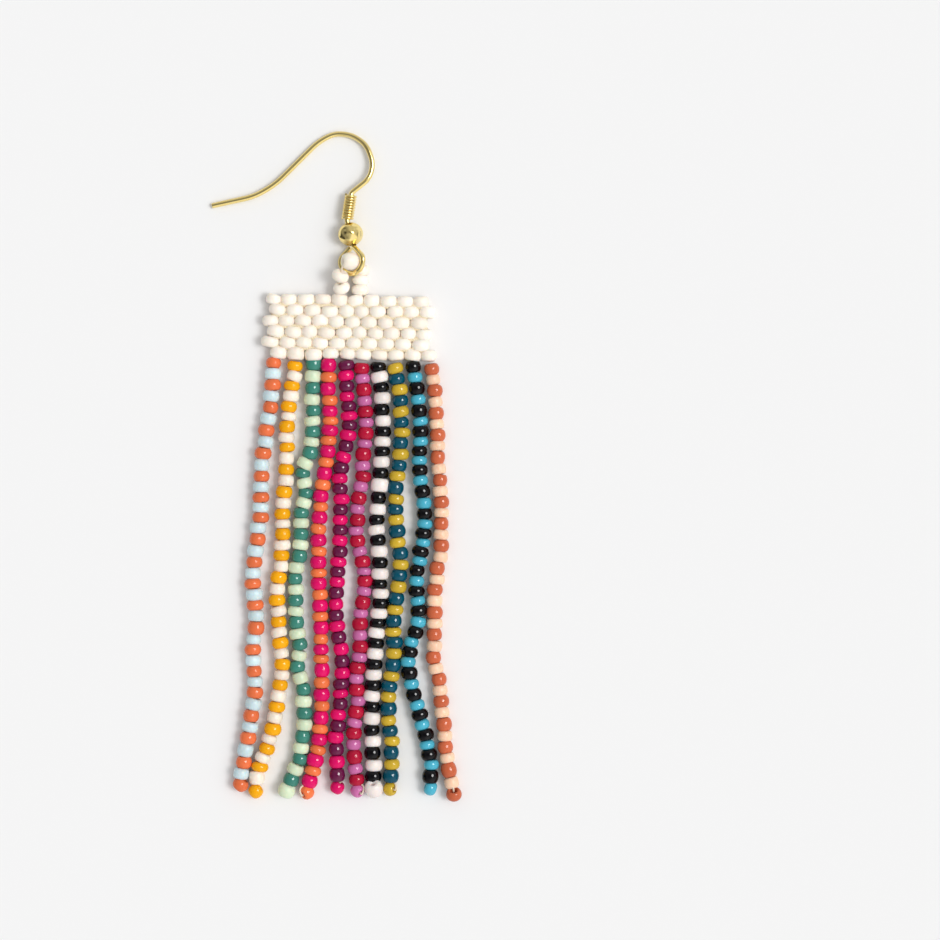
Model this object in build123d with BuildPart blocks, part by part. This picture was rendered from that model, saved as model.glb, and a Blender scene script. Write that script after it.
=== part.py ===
from build123d import *
import math
import os

os.makedirs("parts", exist_ok=True)

# A beaded fringe earring, lying on its back on a flat surface, in millimetres.
# +Z points up from the surface, +Y runs from the fringe to the ear hook, +X is right seen from above.
# The origin lies on the surface, under the middle of the whole earring.

# Ear hook: one round wire, bent into a tail, an arch, a shank and a teardrop eye
WIRE_D = 0.7
TIP_ROUND = 0.12
ARCH_HEIGHT = 8.0  # from the top of the shank to the arch's highest corner
SHANK_TOP_BEND = 1.0  # bend radii, above the coil, between coil and ball, and under the ball
SHANK_FOOT_BEND = 0.8
EYE_TOP_BEND = 0.6
COIL_LEAN = 8.3  # degrees that the shank leans in the coil, to the right going up
BALL_LEAN = 14.2  # degrees that the shank leans in the ball, to the left going up
EYE_R = 1.58
EYE_RISE = 4.37  # middle of the eye above the top edge of the band
EYE_X = 2.0
EYE_HEIGHT = 1.8  # middle of the eye above the surface
EYE_TWIST = 42.0  # degrees that the eye is turned about the shank, right side up
EYE_END_HEIGHT = 0.42  # middle of the wire's cut end, tucked under the ball

# Ball and coil, threaded on the shank
BALL_D = 3.3
BALL_LENGTH = 3.1
BALL_CLEARANCE = 0.15
BALL_GAP = 0.13  # between the ball's oval and the eye's first bend
BALL_PLAY = 0.3  # between the ball's oval and the bend above it
COIL_WIRE_D = 0.3
COIL_TURNS = 9
COIL_TURN_GAP = 0.06
COIL_CLEARANCE = 0.17
COIL_GAP = 0.12  # between the coil and the bend above it
COIL_PLAY = 0.04  # between the coil and the bend below it

# Band of ivory beads, six rows in brick stitch
BEAD_D = 2.1
BEAD_ROUND = 0.45
BAND_ROWS = 6
BAND_COLUMNS = 10
ROW_PITCH = 1.42
COLUMN_PITCH = 2.17
ROW_SHIFT = 0.5  # each row is this far right or left of the band's middle
BAND_TILT = 1.02  # degrees, right side low
BAND_X = 1.7
BAND_FOOT_Y = 14.03

# Loop of drilled beads that carries the eye
LOOP_BEAD_LENGTH = 1.2
EYE_BEAD = 3  # counted along the thread: the bead that lies in the eye, which is longer
EYE_BEAD_LENGTH = 1.45
LOOP_BEAD_BORE = 0.9
LOOP_BEAD_ROUND = 0.35
THREAD_D = 0.3

# Fringe: ten strings of seed beads, each as one round tube
STRING_D = 1.9
STRING_GAP = 0.25  # between a string and the band
STRING_END_ROUND = 0.3
LAST_BEAD_REACH = 0.8  # from the middle of the last bead to the string's end
CORNER_SHARE = 0.45  # of the shorter run, taken by the arc at each corner

# Corners of the ear wire seen from above: x, y and the bend's radius, as shares of a named size.
# The tail and the arch are measured from the top of the shank, as shares of ARCH_HEIGHT.
TAIL_CORNERS = [
    (-2.3, -0.2, None),
    (-1.6, -0.05, 1.1),
    (-1.25, 0.15, 1.4),
]
ARCH_CORNERS = [
    (-0.54, 0.86, 1.0),
    (-0.28, 0.99, 0.4),
    (0.0, 0.97, 0.5),
    (0.25, 0.8, 0.4),
    (0.36, 0.49, 0.4),
    (0.3, 0.24, 0.35),
]
# The eye is measured from its middle, as shares of EYE_R: its right leg, its foot and its left leg.
EYE_TOP = (0.22, 1.25)
EYE_CORNERS = [
    (1.05, 0.32, 0.5),
    (0.95, -0.6, 0.9),
    (0.23, -1.06, 0.95),
    (-0.59, -0.87, 0.95),
    (-1.03, 0.13, 0.7),
]
EYE_END = (-0.06, 1.22)

# Thread of the loop: x and y from the middle of the eye, and height. A bead sits on each run but two.
LOOP_ROUTE = [
    (-0.98, -4.2, 1.32),
    (-1.5, -2.7, 2.15),
    (-1.2, -1.2, 2.9),
    (-0.8, -0.02, 2.9),
    (0.8, -0.02, 2.0),
    (1.42, -0.42, 1.08),
    (1.34, -1.73, 1.05),
    (1.17, -3.07, 1.05),
    (1.15, -4.37, 1.05),
]
BARE_RUNS = (2, 4)

# Strings, left to right: bead number, counted down from the band, and the x and y of its middle
STRING_ROUTES = [
    [(1, -8.1, 13.6), (5, -8.7, 7.8), (10, -9.7, 0.2), (15, -10.0, -6.7), (21, -10.9, -15.4),
     (24, -10.5, -19.6), (28, -10.9, -25.5), (30, -10.7, -28.3), (36, -11.9, -37.3), (39, -12.6, -41.8)],
    [(1, -5.3, 13.2), (8, -6.5, 3.8), (11, -6.5, -0.4), (14, -6.9, -4.8), (20, -7.3, -13.1),
     (22, -7.7, -16.1), (26, -7.5, -21.8), (29, -7.1, -26.0), (33, -7.8, -31.6), (37, -9.1, -37.1),
     (40, -10.4, -40.9), (41, -10.6, -42.7)],
    [(1, -3.0, 13.5), (4, -3.1, 8.8), (9, -3.4, 1.8), (11, -4.4, -0.9), (13, -3.9, -3.5),
     (15, -4.6, -6.1), (18, -4.6, -10.3), (20, -5.2, -13.3), (23, -5.2, -17.6), (26, -5.1, -22.0),
     (27, -4.7, -23.4), (29, -5.0, -26.3), (31, -4.3, -29.3), (35, -4.4, -35.5), (37, -4.9, -38.4),
     (40, -6.4, -42.6)],
    [(1, -0.9, 13.3), (3, -1.0, 10.2), (6, -0.7, 6.0), (9, -1.1, 2.0), (14, -2.1, -5.3),
     (19, -2.3, -12.6), (25, -2.0, -21.2), (30, -1.9, -28.4), (35, -2.2, -35.9), (40, -3.9, -42.8)],
    [(1, 1.3, 13.3), (4, 1.5, 9.2), (8, 1.7, 4.1), (11, 0.7, -0.2), (14, 0.6, -4.3),
     (19, 0.5, -11.2), (23, 0.0, -16.6), (26, 0.2, -21.0), (28, 0.7, -24.0), (33, 0.5, -31.2),
     (36, 0.1, -35.6), (40, 0.2, -42.2)],
    [(1, 3.4, 12.9), (4, 3.7, 8.6), (6, 4.0, 5.8), (9, 3.6, 1.6), (11, 3.6, -1.3),
     (14, 2.8, -5.6), (17, 2.8, -9.8), (20, 3.7, -13.8), (22, 3.7, -16.4), (24, 3.2, -19.3),
     (28, 3.1, -25.1), (30, 2.7, -27.9), (32, 2.8, -30.8), (34, 2.4, -33.7), (40, 2.8, -42.6)],
    [(1, 5.6, 13.1), (3, 5.9, 10.4), (7, 6.2, 4.6), (10, 6.0, 0.6), (15, 5.4, -7.0),
     (20, 5.8, -14.1), (22, 5.9, -16.7), (24, 5.6, -19.3), (29, 5.1, -26.0), (34, 4.7, -33.1),
     (36, 4.9, -36.1), (40, 5.0, -42.3)],
    [(1, 7.8, 12.9), (3, 8.3, 10.1), (5, 8.5, 7.2), (9, 8.5, 1.6), (12, 7.9, -2.8),
     (15, 7.8, -7.0), (19, 8.5, -12.9), (21, 8.2, -15.8), (24, 7.6, -20.3), (28, 7.5, -26.1),
     (31, 6.9, -30.3), (33, 7.0, -33.4), (35, 7.3, -36.1), (39, 7.1, -42.4)],
    [(1, 10.1, 13.1), (4, 10.8, 8.8), (7, 11.1, 4.6), (11, 11.0, -0.5), (14, 11.6, -4.8),
     (18, 11.4, -10.0), (20, 10.9, -12.4), (23, 10.6, -16.4), (26, 10.8, -20.4), (28, 10.0, -23.1),
     (30, 9.6, -25.7), (32, 9.9, -28.6), (34, 10.6, -31.4), (38, 12.0, -36.6), (40, 12.5, -39.2),
     (42, 12.3, -42.3)],
    [(1, 12.6, 12.8), (5, 13.2, 7.0), (9, 13.4, 1.2), (13, 13.8, -4.7), (17, 13.8, -10.4),
     (21, 13.1, -16.2), (25, 12.9, -22.1), (27, 12.9, -25.1), (29, 13.5, -28.0), (33, 14.1, -33.9),
     (37, 14.8, -39.9), (39, 15.5, -43.1)],
]

# The band's own directions on the surface, and its foot and top edges
band_right = Vector(math.cos(math.radians(BAND_TILT)), -math.sin(math.radians(BAND_TILT)), 0)
band_up = Vector(math.sin(math.radians(BAND_TILT)), math.cos(math.radians(BAND_TILT)), 0)
band_foot = Vector(BAND_X, BAND_FOOT_Y, BEAD_D / 2)
band_up_axis = Axis(band_foot, band_up)
band_height = BAND_ROWS * ROW_PITCH
band_top_y = BAND_FOOT_Y + band_height / band_up.Y - (EYE_X - BAND_X) * math.tan(math.radians(BAND_TILT))
eye_middle = Vector(EYE_X, band_top_y + EYE_RISE, 0)


def corner_radii(points):
    """The radius at each corner whose arc takes CORNER_SHARE of the shorter run beside it."""
    radii = []
    for before, corner, after in zip(points, points[1:], points[2:]):
        run_in = corner - before
        run_out = after - corner
        half_turn = math.radians(run_in.get_angle(run_out)) / 2
        radii.append(CORNER_SHARE * min(run_in.length, run_out.length) / math.tan(half_turn))
    return radii


def report_tube(name, part, path_length, diameter, radii):
    """Prints the smallest bend of a tube, and its volume as a share of section times length."""
    share = part.volume / (math.pi * diameter**2 / 4 * path_length)
    print(f"{name}: length {path_length:.2f}, smallest radius {min(radii):.2f}, volume share {share:.4f}")


# The ear wire seen from above, from the eye upwards: the shank is as long as its ball and coil need
coil_pitch = COIL_WIRE_D + COIL_TURN_GAP
coil_length = COIL_TURNS * coil_pitch + COIL_WIRE_D
ball_up = Vector(-math.sin(math.radians(BALL_LEAN)), math.cos(math.radians(BALL_LEAN)), 0)
coil_up = Vector(math.sin(math.radians(COIL_LEAN)), math.cos(math.radians(COIL_LEAN)), 0)
eye_top = eye_middle + Vector(*EYE_TOP) * EYE_R
shank_foot = eye_top + ball_up * (BALL_GAP + BALL_LENGTH + BALL_PLAY)
shank_top = shank_foot + coil_up * (COIL_PLAY + coil_length + COIL_GAP)
upper_places = [shank_top + Vector(x, y, 0) * ARCH_HEIGHT for x, y, bend in TAIL_CORNERS + ARCH_CORNERS]
upper_bends = [bend * ARCH_HEIGHT for x, y, bend in TAIL_CORNERS + ARCH_CORNERS if bend]
eye_bends = [bend * EYE_R for x, y, bend in EYE_CORNERS]

# The wire's tail, arch and ball rest on the surface, and these three set the plane that it is bent in
tail_rest = upper_places[0] + Vector(0, 0, WIRE_D / 2)
arch_rest = upper_places[len(TAIL_CORNERS)] + Vector(0, 0, WIRE_D / 2)
ball_rest = eye_top + ball_up * (BALL_GAP + BALL_LENGTH / 2) + Vector(0, 0, BALL_D / 2)
wire_normal = (arch_rest - tail_rest).cross(ball_rest - tail_rest)


def wire_point(place):
    """The point of the ear wire's own plane over a place on the surface."""
    over = place - tail_rest
    height = tail_rest.Z - (wire_normal.X * over.X + wire_normal.Y * over.Y) / wire_normal.Z
    return Vector(place.X, place.Y, height)


def eye_point(x, y):
    """The point of the twisted eye over (x, y), measured from its middle."""
    return eye_middle + Vector(x, y, EYE_HEIGHT + x * math.tan(math.radians(EYE_TWIST)))


upper_points = [wire_point(place) for place in upper_places]
shank_points = [wire_point(place) for place in (shank_top, shank_foot, eye_top)]
eye_points = [eye_point(x * EYE_R, y * EYE_R) for x, y, bend in EYE_CORNERS]
eye_end = eye_middle + Vector(*EYE_END) * EYE_R + Vector(0, 0, EYE_END_HEIGHT)
wire_points = upper_points + shank_points + eye_points + [eye_end]
wire_bends = upper_bends + [SHANK_TOP_BEND, SHANK_FOOT_BEND, EYE_TOP_BEND] + eye_bends

with BuildPart() as ear_hook:
    with BuildLine() as wire_line:
        FilletPolyline(*wire_points, radius=wire_bends)
    tip_direction = wire_points[1] - wire_points[0]
    with BuildSketch(Plane(origin=wire_points[0], z_dir=tip_direction)):
        Circle(WIRE_D / 2)
    sweep(path=wire_line.wire())
    fillet(ear_hook.faces().filter_by(GeomType.PLANE).edges(), TIP_ROUND)
ear_hook.part.label = "ear_hook"
export_step(ear_hook.part, "parts/ear_hook.step")
report_tube("ear_hook", ear_hook.part, wire_line.wire().length, WIRE_D, wire_bends)

# The shank's two straight runs carry the coil and the ball
shank_top_point, shank_foot_point, eye_top_point = shank_points
coil_direction = (shank_foot_point - shank_top_point).normalized()
coil_radius = WIRE_D / 2 + COIL_CLEARANCE + COIL_WIRE_D / 2
coil_start = shank_top_point + coil_direction * (COIL_GAP + COIL_WIRE_D / 2)

with BuildPart() as wire_coil:
    with BuildLine() as coil_line:
        Helix(
            pitch=coil_pitch,
            height=COIL_TURNS * coil_pitch,
            radius=coil_radius,
            center=coil_start,
            direction=coil_direction,
        )
    coil_path = coil_line.wire()
    with BuildSketch(Plane(origin=coil_path @ 0, z_dir=coil_path % 0)):
        Circle(COIL_WIRE_D / 2)
    sweep(path=coil_path, is_frenet=True)
wire_coil.part.label = "wire_coil"
export_step(wire_coil.part, "parts/wire_coil.step")
report_tube("wire_coil", wire_coil.part, coil_path.length, COIL_WIRE_D, [coil_radius])

ball_direction = (eye_top_point - shank_foot_point).normalized()
ball_middle = eye_top_point - ball_direction * (BALL_LENGTH / 2 + BALL_GAP)
ball_side = ball_direction.cross(Vector(0, 0, 1))
ball_plane = Plane(origin=ball_middle, x_dir=ball_side, z_dir=ball_side.cross(ball_direction))

with BuildPart() as hook_ball:
    with BuildSketch(ball_plane):
        Ellipse(BALL_D / 2, BALL_LENGTH / 2)
        with Locations((WIRE_D / 4 + BALL_CLEARANCE / 2 - BALL_D / 2, 0)):
            Rectangle(BALL_D + WIRE_D / 2 + BALL_CLEARANCE, 2 * BALL_LENGTH, mode=Mode.SUBTRACT)
    revolve(axis=Axis(ball_middle, ball_direction))
hook_ball.part.label = "hook_ball"
export_step(hook_ball.part, "parts/hook_ball.step")

band_rows = []
for row in range(BAND_ROWS):
    row_side = 1 if row % 2 == 0 else -1
    row_foot = band_foot + band_up * (row * ROW_PITCH) + band_right * (row_side * ROW_SHIFT)
    with BuildPart() as band_row:
        with BuildSketch(Plane(origin=row_foot, x_dir=band_right, z_dir=band_up)):
            SlotOverall(BAND_COLUMNS * COLUMN_PITCH, BEAD_D)
        extrude(amount=ROW_PITCH)
        fillet(band_row.faces().filter_by(GeomType.PLANE).filter_by(band_up_axis).edges(), BEAD_ROUND)
    band_rows.append(band_row.part)

with BuildPart() as beaded_band:
    for row_part in band_rows:
        add(row_part)
beaded_band.part.label = "beaded_band"
export_step(beaded_band.part, "parts/beaded_band.step")

loop_points = [eye_middle + Vector(*point) for point in LOOP_ROUTE]
loop_runs = list(zip(loop_points, loop_points[1:]))
bead_runs = [ends for run, ends in enumerate(loop_runs) if run not in BARE_RUNS]
for number, (start, end) in enumerate(bead_runs, start=1):
    bead_middle = (start + end) / 2
    bead_length = EYE_BEAD_LENGTH if number == EYE_BEAD else LOOP_BEAD_LENGTH
    with BuildPart(Plane(origin=bead_middle, z_dir=end - start)) as loop_bead:
        Cylinder(BEAD_D / 2, bead_length)
        fillet(loop_bead.edges().filter_by(GeomType.CIRCLE), LOOP_BEAD_ROUND)
        Cylinder(LOOP_BEAD_BORE / 2, bead_length, mode=Mode.SUBTRACT)
    loop_bead.part.label = f"loop_bead_{number}"
    export_step(loop_bead.part, f"parts/loop_bead_{number}.step")

with BuildPart() as loop_thread:
    with BuildLine() as thread_line:
        FilletPolyline(*loop_points, radius=corner_radii(loop_points))
    with BuildSketch(Plane(origin=loop_points[0], z_dir=loop_points[1] - loop_points[0])):
        Circle(THREAD_D / 2)
    sweep(path=thread_line.wire())
loop_thread.part.label = "loop_thread"
export_step(loop_thread.part, "parts/loop_thread.step")
report_tube("loop_thread", loop_thread.part, thread_line.wire().length, THREAD_D, corner_radii(loop_points))

for number, route in enumerate(STRING_ROUTES, start=1):
    string_points = [Vector(x, y, STRING_D / 2) for bead, x, y in route]
    first_run = (string_points[0] - string_points[1]).normalized()
    to_band = -STRING_GAP - (string_points[0] - band_foot).dot(band_up)
    string_points[0] += first_run * (to_band / first_run.dot(band_up))
    last_run = (string_points[-1] - string_points[-2]).normalized()
    string_points[-1] += last_run * LAST_BEAD_REACH
    string_radii = corner_radii(string_points)
    with BuildPart() as fringe_string:
        with BuildLine() as string_line:
            FilletPolyline(*string_points, radius=string_radii)
        with BuildSketch(Plane(origin=string_points[0], z_dir=-first_run)):
            Circle(STRING_D / 2)
        sweep(path=string_line.wire())
        fillet(fringe_string.faces().filter_by(GeomType.PLANE).edges(), STRING_END_ROUND)
    name = f"fringe_string_{number:02d}"
    fringe_string.part.label = name
    export_step(fringe_string.part, f"parts/{name}.step")
    report_tube(name, fringe_string.part, string_line.wire().length, STRING_D, string_radii)
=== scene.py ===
"""A beaded fringe earring on a pale surface: glass beads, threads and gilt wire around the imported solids."""
import math

import bpy
import numpy as np
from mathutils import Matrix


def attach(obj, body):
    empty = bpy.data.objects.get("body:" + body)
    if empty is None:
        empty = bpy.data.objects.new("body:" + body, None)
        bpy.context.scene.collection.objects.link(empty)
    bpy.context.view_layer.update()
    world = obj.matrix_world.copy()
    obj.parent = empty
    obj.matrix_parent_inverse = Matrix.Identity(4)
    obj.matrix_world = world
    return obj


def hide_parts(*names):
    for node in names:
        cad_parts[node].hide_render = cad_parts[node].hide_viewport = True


MM = 0.001  # the tables below are in millimetres, and Blender's unit is the metre

# Camera and photograph frame, which is square
VIEW_X, VIEW_Y = 17.63, -0.46  # the point of the surface in the middle of the picture
VIEW_WIDTH = 123.68  # from side to side of the picture, at the height of the beads' middles
LENS, SENSOR = 100.0, 36.0

# Strings, left to right: bead number, counted down from the band, and the x and y of its middle
STRING_ROUTES = [
    [(1, -8.1, 13.6), (5, -8.7, 7.8), (10, -9.7, 0.2), (15, -10.0, -6.7), (21, -10.9, -15.4),
     (24, -10.5, -19.6), (28, -10.9, -25.5), (30, -10.7, -28.3), (36, -11.9, -37.3), (39, -12.6, -41.8)],
    [(1, -5.3, 13.2), (8, -6.5, 3.8), (11, -6.5, -0.4), (14, -6.9, -4.8), (20, -7.3, -13.1),
     (22, -7.7, -16.1), (26, -7.5, -21.8), (29, -7.1, -26.0), (33, -7.8, -31.6), (37, -9.1, -37.1),
     (40, -10.4, -40.9), (41, -10.6, -42.7)],
    [(1, -3.0, 13.5), (4, -3.1, 8.8), (9, -3.4, 1.8), (11, -4.4, -0.9), (13, -3.9, -3.5),
     (15, -4.6, -6.1), (18, -4.6, -10.3), (20, -5.2, -13.3), (23, -5.2, -17.6), (26, -5.1, -22.0),
     (27, -4.7, -23.4), (29, -5.0, -26.3), (31, -4.3, -29.3), (35, -4.4, -35.5), (37, -4.9, -38.4),
     (40, -6.4, -42.6)],
    [(1, -0.9, 13.3), (3, -1.0, 10.2), (6, -0.7, 6.0), (9, -1.1, 2.0), (14, -2.1, -5.3),
     (19, -2.3, -12.6), (25, -2.0, -21.2), (30, -1.9, -28.4), (35, -2.2, -35.9), (40, -3.9, -42.8)],
    [(1, 1.3, 13.3), (4, 1.5, 9.2), (8, 1.7, 4.1), (11, 0.7, -0.2), (14, 0.6, -4.3),
     (19, 0.5, -11.2), (23, 0.0, -16.6), (26, 0.2, -21.0), (28, 0.7, -24.0), (33, 0.5, -31.2),
     (36, 0.1, -35.6), (40, 0.2, -42.2)],
    [(1, 3.4, 12.9), (4, 3.7, 8.6), (6, 4.0, 5.8), (9, 3.6, 1.6), (11, 3.6, -1.3),
     (14, 2.8, -5.6), (17, 2.8, -9.8), (20, 3.7, -13.8), (22, 3.7, -16.4), (24, 3.2, -19.3),
     (28, 3.1, -25.1), (30, 2.7, -27.9), (32, 2.8, -30.8), (34, 2.4, -33.7), (40, 2.8, -42.6)],
    [(1, 5.6, 13.1), (3, 5.9, 10.4), (7, 6.2, 4.6), (10, 6.0, 0.6), (15, 5.4, -7.0),
     (20, 5.8, -14.1), (22, 5.9, -16.7), (24, 5.6, -19.3), (29, 5.1, -26.0), (34, 4.7, -33.1),
     (36, 4.9, -36.1), (40, 5.0, -42.3)],
    [(1, 7.8, 12.9), (3, 8.3, 10.1), (5, 8.5, 7.2), (9, 8.5, 1.6), (12, 7.9, -2.8),
     (15, 7.8, -7.0), (19, 8.5, -12.9), (21, 8.2, -15.8), (24, 7.6, -20.3), (28, 7.5, -26.1),
     (31, 6.9, -30.3), (33, 7.0, -33.4), (35, 7.3, -36.1), (39, 7.1, -42.4)],
    [(1, 10.1, 13.1), (4, 10.8, 8.8), (7, 11.1, 4.6), (11, 11.0, -0.5), (14, 11.6, -4.8),
     (18, 11.4, -10.0), (20, 10.9, -12.4), (23, 10.6, -16.4), (26, 10.8, -20.4), (28, 10.0, -23.1),
     (30, 9.6, -25.7), (32, 9.9, -28.6), (34, 10.6, -31.4), (38, 12.0, -36.6), (40, 12.5, -39.2),
     (42, 12.3, -42.3)],
    [(1, 12.6, 12.8), (5, 13.2, 7.0), (9, 13.4, 1.2), (13, 13.8, -4.7), (17, 13.8, -10.4),
     (21, 13.1, -16.2), (25, 12.9, -22.1), (27, 12.9, -25.1), (29, 13.5, -28.0), (33, 14.1, -33.9),
     (37, 14.8, -39.9), (39, 15.5, -43.1)],
]

# Each string's record slot, its two glasses, first the one at the band, and how long a bead of the first is
# to one of the second
STRING_GLASSES = [
    ("orange_beads", "coral_orange", "ice_blue", 1.0),
    ("amber_beads", "amber_yellow", "warm_white", 1.05),
    ("green_beads", "viridian", "celery", 1.1),
    ("magenta_orange_beads", "magenta", "tangerine", 1.3),
    ("plum_beads", "plum", "magenta", 1.0),
    ("crimson_beads", "crimson", "orchid", 1.3),
    ("black_white_beads", "jet_black", "chalk_white", 0.95),
    ("teal_beads", "mustard", "petrol_teal", 0.9),
    ("turquoise_beads", "jet_black", "turquoise", 1.2),
    ("rust_beads", "rust", "peach", 1.2),
]
LENGTH_SPREAD = 0.065  # of a bead's length, as a share
DIAMETER_SPREAD = 0.025  # of its diameter, as a share
SQUARENESS_SPREAD = 0.06
SIDE_STEP = 0.06  # how far a bead lies beside its string's line
SWING, SLOPE = 5, 0.04  # how far beads turn on their thread: in degrees on the surface, and as a slope off it
NEARBY = 0.3  # of a bead's length, over which the string's direction is read

# The last bead of each string lies turned: where its hole points, as degrees round from +x and up from the
# surface, its diameter and length, and how wide its hole shows
LAST_BEADS = [
    (48, 6, 2.10, 1.6, 0.3),
    (40, 8, 1.88, 1.6, 0.3),
    (70, 10, 2.35, 1.8, 0.3),
    (212, 30, 1.92, 1.5, 0.5),
    (60, 10, 1.85, 1.6, 0.3),
    (-38, 30, 1.88, 1.4, 0.5),
    (100, 42, 2.34, 2.2, 0.1),
    (-4, 28, 1.88, 1.4, 0.5),
    (160, 8, 1.98, 1.5, 0.3),
    (95, 34, 2.05, 1.4, 0.7),
]

# Where the thread shows on its way into the last bead: string, and the side that it lies on
TURN_SIDES = {4: (-1.0, 0.2), 5: (0.8, 0.6), 6: (1.0, 0.3), 8: (0.9, 0.5), 10: (0.0, 0.3)}
TURN_RISE = 0.55  # how far up that thread leans, to its side
SHOULDER_REACH, SIDE_REACH = 0.55, 0.56  # from the bead's middle to the thread, as shares of its diameter
MOUTH_RISE, MOUTH_DEPTH = 0.12, 0.3  # of the thread, before and in the hole
TURN_POINTS = 25
EXIT_REACH = 0.45  # from the middle of the bead above to where the thread leaves it, as a share of its length
LAST_OUTLINE = 0.9  # a turned bead's height at its hole's end, as a share of its diameter

# Glasses: colour as the eye sees it in 8 bits, roughness, how square the bead is (0 round to 1), its
# diameter, and shine
GLASSES = {
    "ivory": ((255, 242, 228), 0.34, 0.0, 2.15, 0.20),
    "coral_orange": ((230, 115, 70), 0.13, 0.05, 2.20, 0.22),
    "ice_blue": ((205, 225, 230), 0.30, 0.5, 2.15, 0.20),
    "amber_yellow": ((245, 170, 15), 0.14, 0.05, 2.20, 0.20),
    "warm_white": ((245, 230, 215), 0.32, 0.5, 2.10, 0.20),
    "viridian": ((60, 130, 115), 0.10, 0.1, 2.05, 0.36),
    "celery": ((210, 225, 195), 0.32, 0.5, 2.15, 0.20),
    "magenta": ((220, 15, 100), 0.11, 0.05, 2.15, 0.20),
    "tangerine": ((240, 120, 70), 0.14, 0.15, 2.15, 0.22),
    "plum": ((100, 20, 65), 0.10, 0.1, 2.10, 0.36),
    "crimson": ((180, 20, 55), 0.10, 0.0, 2.15, 0.24),
    "orchid": ((195, 105, 160), 0.15, 0.25, 2.05, 0.26),
    "jet_black": ((5, 4, 8), 0.08, 0.1, 2.15, 0.28),
    "chalk_white": ((235, 225, 220), 0.32, 0.5, 2.25, 0.20),
    "mustard": ((205, 170, 50), 0.14, 0.1, 2.20, 0.24),
    "petrol_teal": ((0, 75, 95), 0.08, 0.05, 2.15, 0.34),
    "turquoise": ((75, 175, 200), 0.13, 0.15, 2.05, 0.30),
    "rust": ((200, 100, 65), 0.14, 0.0, 2.05, 0.24),
    "peach": ((250, 205, 175), 0.32, 0.5, 2.00, 0.20),
}

# Band: middles of its beads, row by row from the top, left to right
BAND_FOOT_X, BAND_FOOT_Y = 1.7, 14.03
BAND_TILT = 1.02  # degrees, right side low
ROW_PITCH = 1.42
BEAD_D = 2.1  # of the solids, whose middle height the picture's width is measured at
BAND_FILL = 1.04  # a band bead's diameter to the distance of its neighbours
BAND_BEAD_RANGE = 2.0, 2.4  # the smallest and the largest diameter
BAND_STEP = 0.03, 0.05  # how far a bead lies off its place, to the side and up the band
BAND_SWING, BAND_SLOPE = 6, 0.06  # as SWING and SLOPE
CORNER_SWING = 18  # degrees, of the band's first bead
BAND_LENGTH, BAND_LENGTH_SPREAD = 1.04, 0.04  # of a band bead, as shares of the row pitch
BAND_SQUARENESS, BAND_SQUARENESS_SPREAD = 0.3, 0.15
BAND_ROWS = [
    [-8.2, -6.2, -3.9, -1.7, 0.5, 2.6, 4.7, 6.9, 9.1, 11.2],
    [-7.6, -5.4, -3.1, -0.8, 1.4, 3.4, 5.5, 7.8, 9.9, 12.0],
    [-8.6, -6.5, -4.3, -2.0, 0.1, 2.2, 4.3, 6.5, 8.6, 10.9],
    [-7.9, -5.6, -3.4, -1.2, 1.1, 3.1, 5.2, 7.4, 9.5, 11.6],
    [-8.7, -6.4, -4.2, -2.0, 0.2, 2.3, 4.4, 6.6, 8.8, 11.1],
    [-7.5, -5.3, -2.9, -0.7, 1.5, 3.6, 5.8, 7.9, 10.1, 12.2],
]

# Loop that carries the eye, from the middle of the eye: its thread's route; a bead sits on each run but two
EYE_X = 2.0
EYE_RISE = 4.37
LOOP_ROUTE = [
    (-0.98, -4.2, 1.32),
    (-1.5, -2.7, 2.15),
    (-1.2, -1.2, 2.9),
    (-0.8, -0.02, 2.9),
    (0.8, -0.02, 2.0),
    (1.42, -0.42, 1.08),
    (1.34, -1.73, 1.05),
    (1.17, -3.07, 1.05),
    (1.15, -4.37, 1.05),
]
BARE_RUNS = (2, 4)
LOOP_THREAD_D = 0.26  # of its several passes together
LOOP_BEAD_D, LOOP_BEAD_LENGTH = 2.2, 1.4
EYE_BEAD_D, EYE_BEAD_LENGTH = 2.34, 2.3
EYE_BEAD_DROP = np.array([0.0, 0.0, 0.12])  # of its left end, and rise of its right one
EYE_BEAD = 3  # counted along the thread: the bead that lies in the eye, which is longer
LEANING_BEAD = 2  # the bead at the left under the eye, which leans over to the right at its top
LEAN = np.array([0.45, 0.0, 0.0])
LOOP_SQUARENESS = 0.1

# Threads that no solid stands for
FRINGE_THREAD_D = 0.3
END_THREAD_D = 0.26
BAND_THREAD_D = 0.66  # of the passes side by side between two rows
BAND_THREAD_HEIGHTS = 0.6, 1.05, 1.5
BAND_THREAD_REACH = 10.2  # from the middle of the band's foot to each side
BAND_THREAD_POINTS, LOOP_THREAD_POINTS = 70, 81

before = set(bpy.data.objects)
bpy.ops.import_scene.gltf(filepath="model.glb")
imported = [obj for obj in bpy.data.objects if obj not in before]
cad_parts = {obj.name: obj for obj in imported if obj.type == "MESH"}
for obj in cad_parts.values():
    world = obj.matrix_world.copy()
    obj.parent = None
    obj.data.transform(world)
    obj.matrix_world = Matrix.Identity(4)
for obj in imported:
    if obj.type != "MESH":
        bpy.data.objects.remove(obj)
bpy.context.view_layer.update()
rng = np.random.default_rng(20)


def linear(rgb):
    """Linear colour of an 8-bit sRGB colour: a straight line at the dark end, and above it a power of 2.4."""
    share = np.asarray(rgb) / 255
    return (*np.where(share < 0.04045, share / 12.92, ((share + 0.055) / 1.055) ** 2.4), 1.0)


# Materials


STREAK_PATCHES, GLOSS_PATCHES, PIT_PATCHES = 700, 1500, 2600  # to the metre
TONE_SPREAD, STREAK_SHARE, GLOSS_SHARE = 0.07, 0.12, 0.12
PALE = 150  # a glass whose three channels are all above this lets some light in under its surface
PALE_DEPTH = 0.0008  # metres


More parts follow.
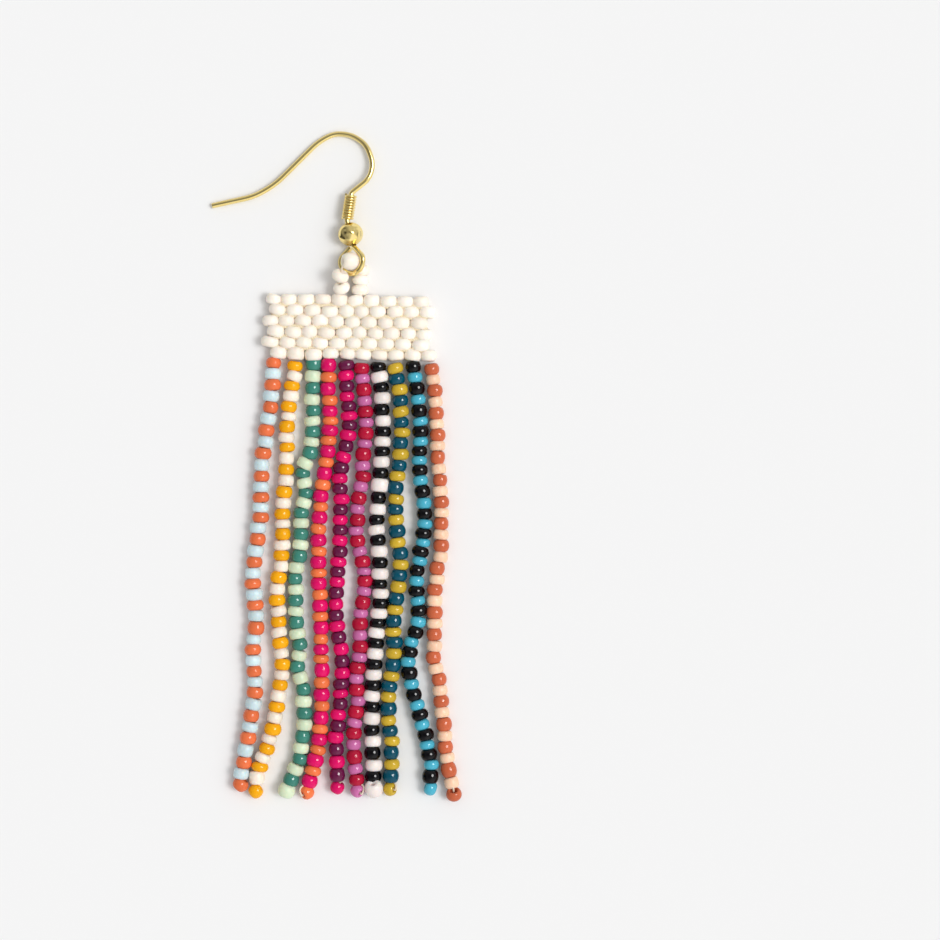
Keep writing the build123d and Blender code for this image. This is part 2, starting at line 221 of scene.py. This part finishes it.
def glaze_group():
    """The beads' glaze as a node group: each bead's shade, from its number tone, with streaks and pits."""
    group = bpy.data.node_groups.new("bead_glaze", "ShaderNodeTree")
    for name, kind in (("Colour", "NodeSocketColor"), ("Tone spread", "NodeSocketFloat"),
                       ("Streaks", "NodeSocketFloat"), ("Roughness", "NodeSocketFloat")):
        group.interface.new_socket(name, in_out="INPUT", socket_type=kind)
    for name, kind in (("Colour", "NodeSocketColor"), ("Roughness", "NodeSocketFloat"),
                       ("Height", "NodeSocketFloat")):
        group.interface.new_socket(name, in_out="OUTPUT", socket_type=kind)
    nodes, links = group.nodes, group.links
    given = nodes.new("NodeGroupInput")
    result = nodes.new("NodeGroupOutput")
    tone = nodes.new("ShaderNodeAttribute")
    tone.attribute_name = "tone"
    coords = nodes.new("ShaderNodeTexCoord")

    def noise(scale, detail):
        """A noise over the piece's own coordinates, so many patches to the metre."""
        node = nodes.new("ShaderNodeTexNoise")
        node.inputs["Scale"].default_value = scale
        node.inputs["Detail"].default_value = detail
        links.new(coords.outputs["Object"], node.inputs["Vector"])
        return node.outputs["Fac"]

    def sum_of(a, b, factor):
        """a + b x factor, where a and b are sockets and factor a socket or a number."""
        node = nodes.new("ShaderNodeMath")
        node.operation = "MULTIPLY_ADD"
        links.new(b, node.inputs[0])
        if isinstance(factor, float):
            node.inputs[1].default_value = factor
        else:
            links.new(factor, node.inputs[1])
        if isinstance(a, float):
            node.inputs[2].default_value = a
        else:
            links.new(a, node.inputs[2])
        return node.outputs[0]

    streak = sum_of(-0.5, noise(STREAK_PATCHES, 3), 1.0)
    value = sum_of(1.0, tone.outputs["Fac"], given.outputs["Tone spread"])
    value = sum_of(value, streak, given.outputs["Streaks"])
    shade = nodes.new("ShaderNodeHueSaturation")
    links.new(given.outputs["Colour"], shade.inputs["Color"])
    links.new(value, shade.inputs["Value"])
    links.new(shade.outputs["Color"], result.inputs["Colour"])
    polish = sum_of(given.outputs["Roughness"], sum_of(-0.5, noise(GLOSS_PATCHES, 2), 1.0), GLOSS_SHARE)
    links.new(polish, result.inputs["Roughness"])
    links.new(noise(PIT_PATCHES, 2), result.inputs["Height"])
    return group


def new_material(name, roughness, metallic=0.0):
    """An empty material with its Principled BSDF."""
    material = bpy.data.materials.new(name)
    material.use_nodes = True
    shader = material.node_tree.nodes["Principled BSDF"]
    shader.inputs["Roughness"].default_value = roughness
    shader.inputs["Metallic"].default_value = metallic
    return material, shader


def add_bump(material, shader, height, distance, strength):
    """Raises the surface by a height socket, in metres."""
    bump = material.node_tree.nodes.new("ShaderNodeBump")
    bump.inputs["Distance"].default_value = distance
    bump.inputs["Strength"].default_value = strength
    material.node_tree.links.new(height, bump.inputs["Height"])
    material.node_tree.links.new(bump.outputs["Normal"], shader.inputs["Normal"])


def bead_glass(name, colour, roughness, shine):
    """Opaque glass: the glaze group feeds colour, roughness and bump."""
    material, shader = new_material(name, roughness)
    nodes, links = material.node_tree.nodes, material.node_tree.links
    glaze = nodes.new("ShaderNodeGroup")
    glaze.node_tree = GLAZE
    glaze.inputs["Colour"].default_value = linear(colour)
    glaze.inputs["Tone spread"].default_value = TONE_SPREAD
    glaze.inputs["Streaks"].default_value = STREAK_SHARE
    glaze.inputs["Roughness"].default_value = roughness
    links.new(glaze.outputs["Colour"], shader.inputs["Base Color"])
    links.new(glaze.outputs["Roughness"], shader.inputs["Roughness"])
    add_bump(material, shader, glaze.outputs["Height"], 0.00001, 0.3)
    pale = min(colour) > PALE
    shader.inputs["Specular IOR Level"].default_value = shine
    shader.inputs["Subsurface Weight"].default_value = 0.35 if pale else 0.0
    shader.inputs["Subsurface Radius"].default_value = (1.0, 0.7, 0.5)
    shader.inputs["Subsurface Scale"].default_value = PALE_DEPTH
    return material


def gilt_metal(name, patches, detail, dent):
    """Gold plate, with rub marks in so many patches to the metre and dents so many metres deep."""
    material, shader = new_material(name, 0.16, 1.0)
    nodes, links = material.node_tree.nodes, material.node_tree.links
    coords = nodes.new("ShaderNodeTexCoord")
    noise = nodes.new("ShaderNodeTexNoise")
    noise.inputs["Scale"].default_value = patches
    noise.inputs["Detail"].default_value = detail
    links.new(coords.outputs["Object"], noise.inputs["Vector"])
    tint = nodes.new("ShaderNodeMix")
    tint.data_type = "RGBA"
    tint.inputs["A"].default_value = (0.97, 0.81, 0.37, 1.0)
    tint.inputs["B"].default_value = (0.92, 0.7, 0.24, 1.0)
    links.new(noise.outputs["Fac"], tint.inputs["Factor"])
    links.new(tint.outputs["Result"], shader.inputs["Base Color"])
    polish = nodes.new("ShaderNodeMapRange")
    polish.inputs["To Min"].default_value = 0.1
    polish.inputs["To Max"].default_value = 0.22
    links.new(noise.outputs["Fac"], polish.inputs["Value"])
    links.new(polish.outputs["Result"], shader.inputs["Roughness"])
    add_bump(material, shader, noise.outputs["Fac"], dent, 1.0)
    return material


def thread_fibre(name, colour):
    """Twisted thread: thin slanting plies from the piece's own UV map, with painted shade darkening the
    grooves between them.
    """
    material, shader = new_material(name, 0.7)
    nodes, links = material.node_tree.nodes, material.node_tree.links
    uv = nodes.new("ShaderNodeUVMap")
    uv.uv_map = "along"
    plies_and_groove_shade = nodes.new("ShaderNodeTexWave")
    plies_and_groove_shade.bands_direction = "DIAGONAL"
    plies_and_groove_shade.inputs["Scale"].default_value = 3.0
    plies_and_groove_shade.inputs["Distortion"].default_value = 1.2
    links.new(uv.outputs["UV"], plies_and_groove_shade.inputs["Vector"])
    # painted shade: the grooves between the plies take 0.85 of the thread's colour, and the ridges take all of
    # it
    tint = nodes.new("ShaderNodeMix")
    tint.data_type = "RGBA"
    tint.inputs["A"].default_value = linear([c * 0.85 for c in colour])
    tint.inputs["B"].default_value = linear(colour)
    links.new(plies_and_groove_shade.outputs["Fac"], tint.inputs["Factor"])
    links.new(tint.outputs["Result"], shader.inputs["Base Color"])
    add_bump(material, shader, plies_and_groove_shade.outputs["Fac"], 0.00003, 0.8)
    return material


GLAZE = glaze_group()
glass = {name: bead_glass(name, look[0], look[1], look[4]) for name, look in GLASSES.items()}
gilt_wire = gilt_metal("gilt_wire", 900, 4.0, 0.000001)
gilt_ball = gilt_metal("gilt_ball", 650, 1.0, 0.0006)
cream_thread = thread_fibre("cream_thread", (252, 236, 212))
tan_thread = thread_fibre("tan_thread", (255, 240, 206))


# Surfaces


def unit(vectors):
    """Each vector divided by its length."""
    return vectors / np.linalg.norm(vectors, axis=-1, keepdims=True)


def smooth_line(knots, places, at):
    """Cubic Hermite curve through places at knots, with slopes from the neighbours, read where at says."""
    slopes = np.gradient(places, knots, axis=0)
    i = np.clip(np.searchsorted(knots, at, side="right") - 1, 0, len(knots) - 2)
    width = (knots[i + 1] - knots[i])[:, None]
    t = ((at - knots[i]) / (knots[i + 1] - knots[i]))[:, None]
    return ((2 * t**3 - 3 * t**2 + 1) * places[i] + (t**3 - 2 * t**2 + t) * width * slopes[i]
            + (3 * t**2 - 2 * t**3) * places[i + 1] + (t**3 - t**2) * width * slopes[i + 1])


def closed_grid(count, rows, columns):
    """Faces of count grids of rows x columns points that close on themselves both ways."""
    row, column = np.meshgrid(np.arange(rows), np.arange(columns), indexing="ij")
    next_row, next_column = (row + 1) % rows, (column + 1) % columns
    one = np.stack([row * columns + column, next_row * columns + column, next_row * columns + next_column,
                    row * columns + next_column], axis=-1).reshape(-1, 4)
    return (one[None] + (np.arange(count) * rows * columns)[:, None, None]).reshape(-1, 4)


def make_piece(name, points, faces, materials, face_material=None, tone=None, uv=None):
    """A smooth mesh at the origin, from points in millimetres and face lists, on the earring's only body."""
    mesh = bpy.data.meshes.new(name)
    mesh.from_pydata((points * MM).tolist(), [], faces)
    for material in materials:
        mesh.materials.append(material)
    if face_material is not None:
        mesh.polygons.foreach_set("material_index", np.asarray(face_material, dtype=np.int32))
    mesh.polygons.foreach_set("use_smooth", np.ones(len(faces), dtype=bool))
    if tone is not None:
        tones = mesh.attributes.new("tone", "FLOAT", "POINT")
        tones.data.foreach_set("value", np.asarray(tone, dtype=np.float32))
    if uv is not None:
        layer = mesh.uv_layers.new(name="along")
        layer.data.foreach_set("uv", uv[np.concatenate(faces)].astype(np.float32).ravel())
    mesh.update()
    piece = bpy.data.objects.new(name, mesh)
    bpy.context.scene.collection.objects.link(piece)
    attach(piece, "root")
    return piece


def refine(piece):
    """One level of subdivision, the same in view and render."""
    level = piece.modifiers.new("round", "SUBSURF")
    level.levels = level.render_levels = 1


# A bead's wall in section, as shares: out from the bore to the side, and from the middle to the bead's end.
# The first is a rounded bead, the second a squarer one.
ROUND_WALL = np.array([
    (0, -0.7), (0, 0.7), (0.40, 1.17), (0.90, 0.78), (1.13, 0), (0.90, -0.78), (0.40, -1.17)])
SQUARE_WALL = np.array([
    (0, -0.74), (0, 0.74), (0.58, 1.15), (1.06, 0.86), (1.05, 0), (1.06, -0.86), (0.58, -1.15)])
WALL_GROWTH = 1.02  # the wall's shares to the outline that subdivision leaves
SIDES = 12
PER_BEAD = SIDES * len(ROUND_WALL)  # points of a bead, and faces
OVAL_SPREAD = 0.015
SIDE_SHRINK = 0.966  # what subdivision leaves of the radius of a ring with this many sides
BORE_D = 0.6
BEAD_LIFT = 0.06  # so that beads that are a little wide lie on the surface and not in it


def bead_shapes(middles, axes, diameters, lengths, squareness, bores):
    """Beads as closed grids, round angle t by wall point w.

    A point is middle + axis x height(w) + radius(w) x (cos t, sin t) across the axis. Each bead is also
    turned about its axis by a random angle and made slightly oval.
    """
    count = len(middles)
    share = squareness[:, None, None]
    wall = ROUND_WALL * (1 - share) + SQUARE_WALL * share
    bore = bores[:, None] / 2
    radius = (bore + (diameters[:, None] / 2 - bore) * wall[..., 0] / WALL_GROWTH) / SIDE_SHRINK
    height = lengths[:, None] / 2 * wall[..., 1] / WALL_GROWTH
    axes = unit(axes)
    side = unit(np.cross(axes, np.where(np.abs(axes[:, 2:]) < 0.8, [[0.0, 0.0, 1.0]], [[1.0, 0.0, 0.0]])))
    other = np.cross(axes, side)
    turn = np.linspace(0, 2 * np.pi, SIDES, endpoint=False) + rng.uniform(0, 1, (count, 1))
    oval = rng.normal(0, OVAL_SPREAD, (count, 1))
    ring = (side[:, None] * (np.cos(turn) * (1 + oval))[..., None]
            + other[:, None] * (np.sin(turn) * (1 - oval))[..., None])
    points = (middles[:, None, None] + axes[:, None, None] * height[:, None, :, None]
              + ring[:, :, None] * radius[:, None, :, None])
    return points.reshape(-1, 3)


def bead_faces(count):
    """Faces of count beads, outwards."""
    return closed_grid(count, SIDES, len(ROUND_WALL)).tolist()


TUBE_SIDES = 8
TIP_SHARE, TIP_REACH = 0.55, 0.5  # a tube's width at its ends, and its tips' reach, as shares of its radius


def tube(path, radius, first):
    """A round tube along a path, with closed tips, its faces from point number first on, and its UV.

    A point is path + radius x (cos t, sin t) in the plane across the path, with t counted from the level line
    in it. In the UV, u goes round the tube and v along it in millimetres.
    """
    tangents = unit(np.gradient(path, axis=0))
    level = unit(np.cross(tangents, [0.0, 0.0, 1.0]))
    upright = np.cross(tangents, level)
    turn = np.linspace(0, 2 * np.pi, TUBE_SIDES, endpoint=False)
    ring = level[:, None] * np.cos(turn)[:, None] + upright[:, None] * np.sin(turn)[:, None]
    width = np.full(len(path), radius)
    width[[0, -1]] *= TIP_SHARE
    wall = (path[:, None] + ring * width[:, None, None]).reshape(-1, 3)
    reach = radius * TIP_REACH
    points = np.vstack([wall, path[0] - tangents[0] * reach, path[-1] + tangents[-1] * reach])
    row, side = np.meshgrid(np.arange(len(path) - 1), np.arange(TUBE_SIDES), indexing="ij")
    here, beside = row * TUBE_SIDES + side, row * TUBE_SIDES + (side + 1) % TUBE_SIDES
    quads = np.stack([here, beside, beside + TUBE_SIDES, here + TUBE_SIDES], -1).reshape(-1, 4)
    start_tip, end_tip = np.full(TUBE_SIDES, len(wall)), np.full(TUBE_SIDES, len(wall) + 1)
    start_fan = np.stack([beside[0], here[0], start_tip], -1)
    end_fan = np.stack([here[-1] + TUBE_SIDES, beside[-1] + TUBE_SIDES, end_tip], -1)
    faces = (quads + first).tolist() + (start_fan + first).tolist() + (end_fan + first).tolist()
    run = np.r_[0, np.cumsum(np.linalg.norm(np.diff(path, axis=0), axis=1))]
    uv = np.stack([np.tile(turn / (2 * np.pi), len(path)), np.repeat(run, TUBE_SIDES)], -1)
    return points, faces, np.vstack([uv, [[0, 0], [0, run[-1]]]])


def make_tubes(name, paths, diameter, material):
    """Several tubes as one piece."""
    points, faces, uv = [], [], []
    for path in paths:
        tube_points, tube_faces, tube_uv = tube(path, diameter / 2, sum(map(len, points)))
        points.append(tube_points)
        faces += tube_faces
        uv.append(tube_uv)
    return make_piece(name, np.vstack(points), faces, [material], uv=np.vstack(uv))


# Fringe strings


def bead_seats(route, first_to_second):
    """Middles, directions and lengths of a string's beads.

    Each bead gets a random share of length, and one of the first kind as much more as first_to_second says.
    Between two marked beads the shares fill the curve's length, so that neighbours touch.
    """
    marks = np.array([mark[0] for mark in route])
    places = np.array([mark[1:] for mark in route])
    count = marks[-1]
    shares = rng.normal(1, LENGTH_SPREAD, count) * np.where(np.arange(count) % 2, 1.0, first_to_second)
    ends = np.cumsum(shares)
    centres = ends - shares / 2
    knots = centres[marks - 1]
    where = smooth_line(knots, places, centres)
    front, back = np.minimum(centres + NEARBY, knots[-1]), np.maximum(centres - NEARBY, knots[0])
    ahead, behind = smooth_line(knots, places, front), smooth_line(knots, places, back)
    step = np.linalg.norm(ahead - behind, axis=1) / (front - back)
    return where, unit(ahead - behind), shares * step


def thread_turn(before, middle, axis, wide, long, side):
    """The thread from the hole of the bead above, round the outside of the last bead and into its hole.

    Its curve goes through the start, two points just outside the bead and turned to a side, one before the
    hole's mouth and one in the hole.
    """
    mouth = middle + axis * long / 2
    away = unit((before + mouth) / 2 - middle + np.array([*side, TURN_RISE]) * wide / 2)
    shoulder = middle + unit(before - middle + away) * wide * SHOULDER_REACH
    marks = np.array([before, shoulder, middle + away * wide * SIDE_REACH, mouth + axis * MOUTH_RISE,
                      mouth - axis * MOUTH_DEPTH])
    return smooth_line(np.arange(len(marks), dtype=float), marks, np.linspace(0, len(marks) - 1, TURN_POINTS))


def make_string(number):
    """One string's beads as a piece, its thread's line and its turn if that is seen; strings count from 1."""
    slot_name, first_glass, second_glass, ratio = STRING_GLASSES[number - 1]
    flat, heading, lengths = bead_seats(STRING_ROUTES[number - 1], ratio)
    count = len(flat)
    odd = np.arange(count) % 2
    squares, widths = np.array([GLASSES[name][2:4] for name in (first_glass, second_glass)]).T
    diameters = widths[odd] * rng.normal(1, DIAMETER_SPREAD, count)
    squareness = np.clip(squares[odd] + rng.normal(0, SQUARENESS_SPREAD, count), 0, 1)
    across = np.stack([heading[:, 1], -heading[:, 0]], -1)
    flat = flat + across * rng.normal(0, SIDE_STEP, (count, 1))
    bores = np.full(count, BORE_D)
    middles = np.column_stack([flat, diameters / 2 + BEAD_LIFT])
    swing = rng.normal(0, math.radians(SWING), (count, 1))
    axes = np.column_stack([heading * np.cos(swing) + across * np.sin(swing), rng.normal(0, SLOPE, count)])
    round_way, up_way = np.radians(LAST_BEADS[number - 1][:2])
    diameters[-1], lengths[-1], bores[-1] = LAST_BEADS[number - 1][2:]
    squareness[-1] /= 2
    level = math.cos(up_way)
    axes[-1] = (math.cos(round_way) * level, math.sin(round_way) * level, math.sin(up_way))
    turned_height = diameters[-1] * LAST_OUTLINE * level + lengths[-1] * math.sin(up_way)
    middles[-1, 2] = max(diameters[-1], turned_height) / 2 + BEAD_LIFT
    points = bead_shapes(middles, axes, diameters, lengths, squareness, bores)
    tone = np.repeat(rng.uniform(-1, 1, count), PER_BEAD)
    string = make_piece(
        f"fringe_beads_{number:02d}", points, bead_faces(count), [glass[first_glass], glass[second_glass]],
        face_material=np.repeat(odd, PER_BEAD), tone=tone)
    refine(string)
    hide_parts(f"fringe_string_{number:02d}")
    turns = []
    if number in TURN_SIDES:
        before = middles[-2] + unit(axes[-2]) * lengths[-2] * EXIT_REACH
        turns.append(thread_turn(
            before, middles[-1], unit(axes[-1]), diameters[-1], lengths[-1], TURN_SIDES[number]))
    return string, middles[:-1], turns


bead_pieces = []
fringe_paths = []
thread_turns = []
for string_number in range(1, len(STRING_ROUTES) + 1):
    string_piece, thread_line, string_turns = make_string(string_number)
    bead_pieces.append(string_piece)
    fringe_paths.append(thread_line)
    thread_turns += string_turns
make_tubes("fringe_threads", fringe_paths, FRINGE_THREAD_D, cream_thread)
make_tubes("end_threads", thread_turns, END_THREAD_D, cream_thread)


# Band


band_turn = math.radians(BAND_TILT)
band_right = np.array([math.cos(band_turn), -math.sin(band_turn)])
band_up = np.array([math.sin(band_turn), math.cos(band_turn)])
band_foot = np.array([BAND_FOOT_X, BAND_FOOT_Y])
row_count = len(BAND_ROWS)
band_flat, band_diameters = [], []
for row, row_places in enumerate(BAND_ROWS):
    rise = (row_count - row - 0.5) * ROW_PITCH
    along = (np.array(row_places) - BAND_FOOT_X - rise * band_up[0]) / band_right[0]
    band_flat.append(band_foot + band_up * rise + band_right * along[:, None])
    band_diameters.append(np.clip(np.gradient(row_places) * BAND_FILL, *BAND_BEAD_RANGE))
band_flat, band_diameters = np.vstack(band_flat), np.concatenate(band_diameters)
count = len(band_flat)
band_flat += rng.normal(0, BAND_STEP, (count, 2))
band_middles = np.column_stack([band_flat, band_diameters / 2 + BEAD_LIFT])
swing = rng.normal(0, math.radians(BAND_SWING), count)
swing[0] = math.radians(CORNER_SWING)
slope = rng.normal(0, BAND_SLOPE, count)
band_axes = np.column_stack([band_up[0] + swing, np.full(count, band_up[1]), slope])
band_lengths = ROW_PITCH * rng.normal(BAND_LENGTH, BAND_LENGTH_SPREAD, count)
band_squareness = np.clip(rng.normal(BAND_SQUARENESS, BAND_SQUARENESS_SPREAD, count), 0, 1)
band_points = bead_shapes(
    band_middles, band_axes, band_diameters, band_lengths, band_squareness, np.full(count, BORE_D))
band = make_piece(
    "band_beads", band_points, bead_faces(count), [glass["ivory"]],
    tone=np.repeat(rng.uniform(-1, 1, count), PER_BEAD))
refine(band)
bead_pieces.append(band)
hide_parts("beaded_band")


bridges = []
for row in range(1, row_count):
    rise = (row_count - row) * ROW_PITCH
    for height in BAND_THREAD_HEIGHTS:
        along = np.linspace(-BAND_THREAD_REACH, BAND_THREAD_REACH, BAND_THREAD_POINTS)
        flat = band_foot + band_up * rise + band_right * along[:, None]
        bridges.append(np.column_stack([flat, np.full(len(along), height)]))
make_tubes("band_threads", bridges, BAND_THREAD_D, tan_thread)


# Loop


band_top = BAND_FOOT_Y + row_count * ROW_PITCH / band_up[1] - (EYE_X - BAND_FOOT_X) * math.tan(band_turn)
eye_middle = np.array([EYE_X, band_top + EYE_RISE, 0.0])
loop_points = np.array(LOOP_ROUTE) + eye_middle
runs = [run for run in range(len(LOOP_ROUTE) - 1) if run not in BARE_RUNS]
for number, run in enumerate(runs, start=1):
    start, end = loop_points[run], loop_points[run + 1]
    wide, long = (EYE_BEAD_D, EYE_BEAD_LENGTH) if number == EYE_BEAD else (LOOP_BEAD_D, LOOP_BEAD_LENGTH)
    if number == EYE_BEAD:
        start, end = start - EYE_BEAD_DROP, end + EYE_BEAD_DROP
    if number == LEANING_BEAD:
        start, end = start - LEAN / 2, end + LEAN / 2
    middle = (start + end) / 2 + (0.0, 0.0, BEAD_LIFT)
    bead = make_piece(
        f"ivory_loop_bead_{number}",
        bead_shapes(middle[None], (end - start)[None], np.array([wide]), np.array([long]),
                    np.array([LOOP_SQUARENESS]), np.array([LOOP_THREAD_D])),
        bead_faces(1), [glass["ivory"]], tone=np.full(PER_BEAD, rng.uniform(-1, 1)))
    refine(bead)
    bead_pieces.append(bead)
    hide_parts(f"loop_bead_{number}")
fine = np.linspace(0, len(loop_points) - 1, LOOP_THREAD_POINTS)
loop_line = np.column_stack([np.interp(fine, np.arange(len(loop_points)), way) for way in loop_points.T])
loop_thread = make_tubes("loop_thread_fibre", [loop_line], LOOP_THREAD_D, cream_thread)
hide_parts("loop_thread")


# Metal


gilt_pieces = [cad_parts[name] for name in ("ear_hook", "hook_ball", "wire_coil")]
for metal in gilt_pieces:
    for finish in metal.material_slots:
        finish.material = gilt_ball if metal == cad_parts["hook_ball"] else gilt_wire


# Surface, light and camera


def floor():
    """A plain pale square under the earring."""
    half = 2.0
    mesh = bpy.data.meshes.new("floor")
    corners = [(-half, -half, 0), (half, -half, 0), (half, half, 0), (-half, half, 0)]
    mesh.from_pydata(corners, [], [(0, 1, 2, 3)])
    material, shader = new_material("pale_floor", 0.9)
    shader.inputs["Base Color"].default_value = (0.86, 0.86, 0.86, 1.0)
    shader.inputs["Specular IOR Level"].default_value = 0.0
    mesh.materials.append(material)
    piece = bpy.data.objects.new("floor", mesh)
    bpy.context.scene.collection.objects.link(piece)


def sun(name, direction, strength, spread, unseen, pieces=()):
    """A far light from a direction, so many degrees wide, unseen by one kind of ray, for all or some."""
    light = bpy.data.lights.new(name, "SUN")
    light.energy = strength
    light.angle = math.radians(spread)
    lamp = bpy.data.objects.new(name, light)
    bpy.context.scene.collection.objects.link(lamp)
    x, y, z = direction
    lamp.rotation_euler = (math.atan2(math.hypot(x, y), z), 0.0, math.atan2(x, -y))
    setattr(lamp, unseen, False)
    if pieces:
        lit = bpy.data.collections.new(name + "_lit")
        for piece in pieces:
            lit.objects.link(piece)
        lamp.light_linking.receiver_collection = lit


# What the gloss mirrors: how bright it is, and the patches that are darker or brighter, each with its
# direction, the degrees from it to where its full share ends and to where it is gone, and that share
MIRRORED = 0.6
STUDIO_PATCHES = [
    ((-0.10, 0.08, 0.99), 8, 36, 0.36),
    ((-0.85, 0.12, 0.50), 20, 56, 0.48),
    ((-1.0, -0.12, 0.10), 10, 32, 0.12),
    ((1.0, 0.08, 0.08), 4, 14, 0.25),
    ((0.45, -0.75, 0.48), 10, 45, 1.80),
]
GLOW = 0.53  # that falls on everything from all sides


def studio_light():
    """An even glow that lights, and for the gloss a studio with the patches in STUDIO_PATCHES."""
    world = bpy.data.worlds.new("studio")
    bpy.context.scene.world = world
    world.use_nodes = True
    nodes, links = world.node_tree.nodes, world.node_tree.links
    nodes.clear()
    coords = nodes.new("ShaderNodeTexCoord")
    level = None
    for direction, inner, outer, share in STUDIO_PATCHES:
        across = nodes.new("ShaderNodeVectorMath")
        across.operation = "DOT_PRODUCT"
        links.new(coords.outputs["Generated"], across.inputs[0])
        across.inputs[1].default_value = unit(np.array(direction))
        patch = nodes.new("ShaderNodeMapRange")
        patch.interpolation_type = "SMOOTHSTEP"
        links.new(across.outputs["Value"], patch.inputs["Value"])
        patch.inputs["From Min"].default_value = math.cos(math.radians(outer))
        patch.inputs["From Max"].default_value = math.cos(math.radians(inner))
        patch.inputs["To Min"].default_value = 1.0
        patch.inputs["To Max"].default_value = share
        if level is None:
            level = patch.outputs["Result"]
            continue
        both = nodes.new("ShaderNodeMath")
        both.operation = "MULTIPLY"
        links.new(level, both.inputs[0])
        links.new(patch.outputs["Result"], both.inputs[1])
        level = both.outputs[0]
    mirrored = nodes.new("ShaderNodeBackground")
    links.new(level, mirrored.inputs["Color"])
    mirrored.inputs["Strength"].default_value = MIRRORED
    glow = nodes.new("ShaderNodeBackground")
    glow.inputs["Color"].default_value = (1.0, 1.0, 1.0, 1.0)
    glow.inputs["Strength"].default_value = GLOW
    ray = nodes.new("ShaderNodeLightPath")
    choice = nodes.new("ShaderNodeMixShader")
    output = nodes.new("ShaderNodeOutputWorld")
    links.new(ray.outputs["Is Glossy Ray"], choice.inputs["Fac"])
    links.new(glow.outputs["Background"], choice.inputs[1])
    links.new(mirrored.outputs["Background"], choice.inputs[2])
    links.new(choice.outputs["Shader"], output.inputs["Surface"])


floor()
studio_light()
sun("key", (0.55, -0.06, 0.83), 1.16, 20, "visible_glossy")
sun("key_halo", (0.56, -0.06, 0.82), 0.87, 54, "visible_glossy")
sun("bead_glint", (0.50, 0.18, 0.84), 3.9, 29, "visible_diffuse", bead_pieces)
sun("gilt_glint", (0.50, 0.18, 0.84), 1.8, 34, "visible_diffuse", gilt_pieces)

camera_data = bpy.data.cameras.new("camera")
camera_data.lens = LENS
camera_data.sensor_width = SENSOR
camera_data.clip_start, camera_data.clip_end = 0.01, 10
camera = bpy.data.objects.new("camera", camera_data)
bpy.context.scene.collection.objects.link(camera)
camera.location = (VIEW_X * MM, VIEW_Y * MM, (BEAD_D / 2 + VIEW_WIDTH * LENS / SENSOR) * MM)
bpy.context.scene.camera = camera
bpy.context.scene.view_settings.view_transform = "Standard"
